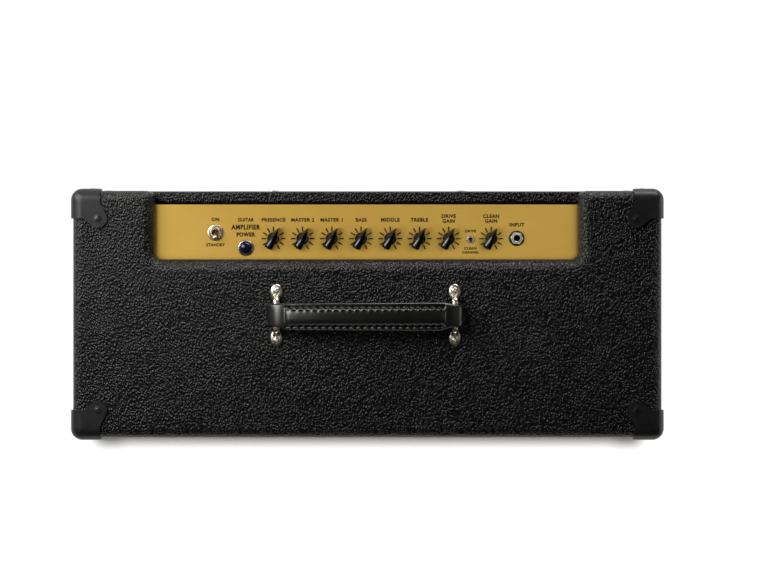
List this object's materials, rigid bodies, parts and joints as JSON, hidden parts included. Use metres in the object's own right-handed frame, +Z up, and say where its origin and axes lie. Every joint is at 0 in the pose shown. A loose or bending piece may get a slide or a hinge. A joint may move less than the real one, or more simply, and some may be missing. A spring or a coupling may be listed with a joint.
{
  "type": "guitar amplifier head",
  "caption": "Valve guitar amplifier head in a black covered cabinet with a gold control panel sunk into the rear of the top and a leather strap handle.",
  "frame": {"origin": "on the floor, below the middle of the cabinet", "axes": "+Z up, +X to the right seen from the front, -Y the cloth front, +Y the back"},
  "size_m": [0.6174, 0.2618, 0.2789],
  "materials": {
    "covering": "black textured vinyl glued over plywood boards",
    "grille_cloth": "woven acoustic cloth, dark with pale flecks",
    "piping": "satin gold cord",
    "plywood": "bare plywood",
    "vent_mesh": "black perforated steel sheet",
    "corner_plastic": "black moulded plastic with a fine texture",
    "rubber": "matt black rubber",
    "leather": "smooth black leather, stitched",
    "nickel": "polished nickel plate",
    "gold_panel": "gold anodised, satin",
    "zinc_steel": "zinc plated folded steel",
    "board": "green printed circuit board",
    "knob_plastic": "glossy black moulding",
    "black_plastic": "black moulding",
    "jewel": "dark blue clear lens",
    "iron": "black painted iron core and covers",
    "valve_glass": "clear glass bulb on a black base"
  },
  "bodies": {
    "cabinet": {"back_panel_lower": "covering", "back_panel_upper": "covering", "cabinet_bottom": "covering", "cabinet_left_side": "covering", "cabinet_right_side": "covering", "cabinet_top": "covering", "channel_switch_body": "nickel", "choke": "iron", "control_board": "board", "control_chassis": "zinc_steel", "corner_lower_front_left": "corner_plastic", "corner_lower_front_right": "corner_plastic", "corner_lower_rear_left": "corner_plastic", "corner_lower_rear_right": "corner_plastic", "corner_upper_front_left": "corner_plastic", "corner_upper_front_right": "corner_plastic", "corner_upper_rear_left": "corner_plastic", "corner_upper_rear_right": "corner_plastic", "faceplate": "gold_panel", "foot_front_left": "rubber", "foot_front_right": "rubber", "foot_rear_left": "rubber", "foot_rear_right": "rubber", "front_baffle": "plywood", "grille_cloth": "grille_cloth", "grille_piping": "piping", "handle_bracket_left": "nickel", "handle_bracket_right": "nickel", "input_jack": "nickel", "input_jack_washer": "black_plastic", "lamp_bezel": "nickel", "lamp_jewel": "jewel", "main_circuit_board": "board", "mains_inlet": "black_plastic", "mains_switch_frame": "black_plastic", "output_transformer": "iron", "power_chassis": "zinc_steel", "power_switch_body": "zinc_steel", "power_switch_nut": "nickel", "power_transformer": "iron", "power_valve_1": "valve_glass", "power_valve_2": "valve_glass", "preamp_valve_1": "valve_glass", "preamp_valve_2": "valve_glass", "preamp_valve_3": "valve_glass", "rear_vent_mesh": "vent_mesh", "speaker_jack_1": "nickel", "speaker_jack_2": "nickel"},
    "knob_presence_turn": {"knob_presence": "knob_plastic"},
    "knob_master_2_turn": {"knob_master_2": "knob_plastic"},
    "knob_master_1_turn": {"knob_master_1": "knob_plastic"},
    "knob_bass_turn": {"knob_bass": "knob_plastic"},
    "knob_middle_turn": {"knob_middle": "knob_plastic"},
    "knob_treble_turn": {"knob_treble": "knob_plastic"},
    "knob_gain_2_turn": {"knob_gain_2": "knob_plastic"},
    "knob_gain_1_turn": {"knob_gain_1": "knob_plastic"},
    "power_lever": {"power_switch_lever": "nickel"},
    "channel_lever": {"channel_switch_lever": "black_plastic"},
    "mains_paddle": {"mains_rocker": "black_plastic"},
    "strap": {"handle_strap": "leather"}
  },
  "joints": [
    {"name": "presence_knob_turn", "type": "hinge", "parent": "cabinet", "child": "knob_presence_turn", "pos_m": [-0.0981, 0.0788, 0.24], "axis": [0, 0, -1], "range_deg": [-178.5, 121.5]},
    {"name": "master_2_knob_turn", "type": "hinge", "parent": "cabinet", "child": "knob_master_2_turn", "pos_m": [-0.0676, 0.0788, 0.24], "axis": [0, 0, -1], "range_deg": [-178.5, 121.5]},
    {"name": "master_1_knob_turn", "type": "hinge", "parent": "cabinet", "child": "knob_master_1_turn", "pos_m": [-0.0371, 0.0788, 0.24], "axis": [0, 0, -1], "range_deg": [-178.5, 121.5]},
    {"name": "bass_knob_turn", "type": "hinge", "parent": "cabinet", "child": "knob_bass_turn", "pos_m": [-0.0066, 0.0788, 0.24], "axis": [0, 0, -1], "range_deg": [-178.5, 121.5]},
    {"name": "middle_knob_turn", "type": "hinge", "parent": "cabinet", "child": "knob_middle_turn", "pos_m": [0.0239, 0.0788, 0.24], "axis": [0, 0, -1], "range_deg": [-178.5, 121.5]},
    {"name": "treble_knob_turn", "type": "hinge", "parent": "cabinet", "child": "knob_treble_turn", "pos_m": [0.0544, 0.0788, 0.24], "axis": [0, 0, -1], "range_deg": [-178.5, 121.5]},
    {"name": "gain_2_knob_turn", "type": "hinge", "parent": "cabinet", "child": "knob_gain_2_turn", "pos_m": [0.0849, 0.0788, 0.24], "axis": [0, 0, -1], "range_deg": [-178.5, 121.5]},
    {"name": "gain_1_knob_turn", "type": "hinge", "parent": "cabinet", "child": "knob_gain_1_turn", "pos_m": [0.1293, 0.0788, 0.24], "axis": [0, 0, -1], "range_deg": [-178.5, 121.5]},
    {"name": "power_switch_flip", "type": "hinge", "parent": "cabinet", "child": "power_lever", "pos_m": [-0.1587, 0.085, 0.226], "axis": [-1, 0, 0], "range_deg": [0, 30]},
    {"name": "channel_switch_flip", "type": "hinge", "parent": "cabinet", "child": "channel_lever", "pos_m": [0.1077, 0.0779, 0.2295], "axis": [-1, 0, 0], "range_deg": [0, 20]},
    {"name": "mains_switch_rock", "type": "hinge", "parent": "cabinet", "child": "mains_paddle", "pos_m": [0.14, 0.1116, 0.056], "axis": [-1, 0, 0], "range_deg": [0, 18]},
    {"name": "handle_lift", "type": "slide", "parent": "cabinet", "child": "strap", "axis": [0, 0, 1], "range_m": [0, 0.003]}
  ]
}
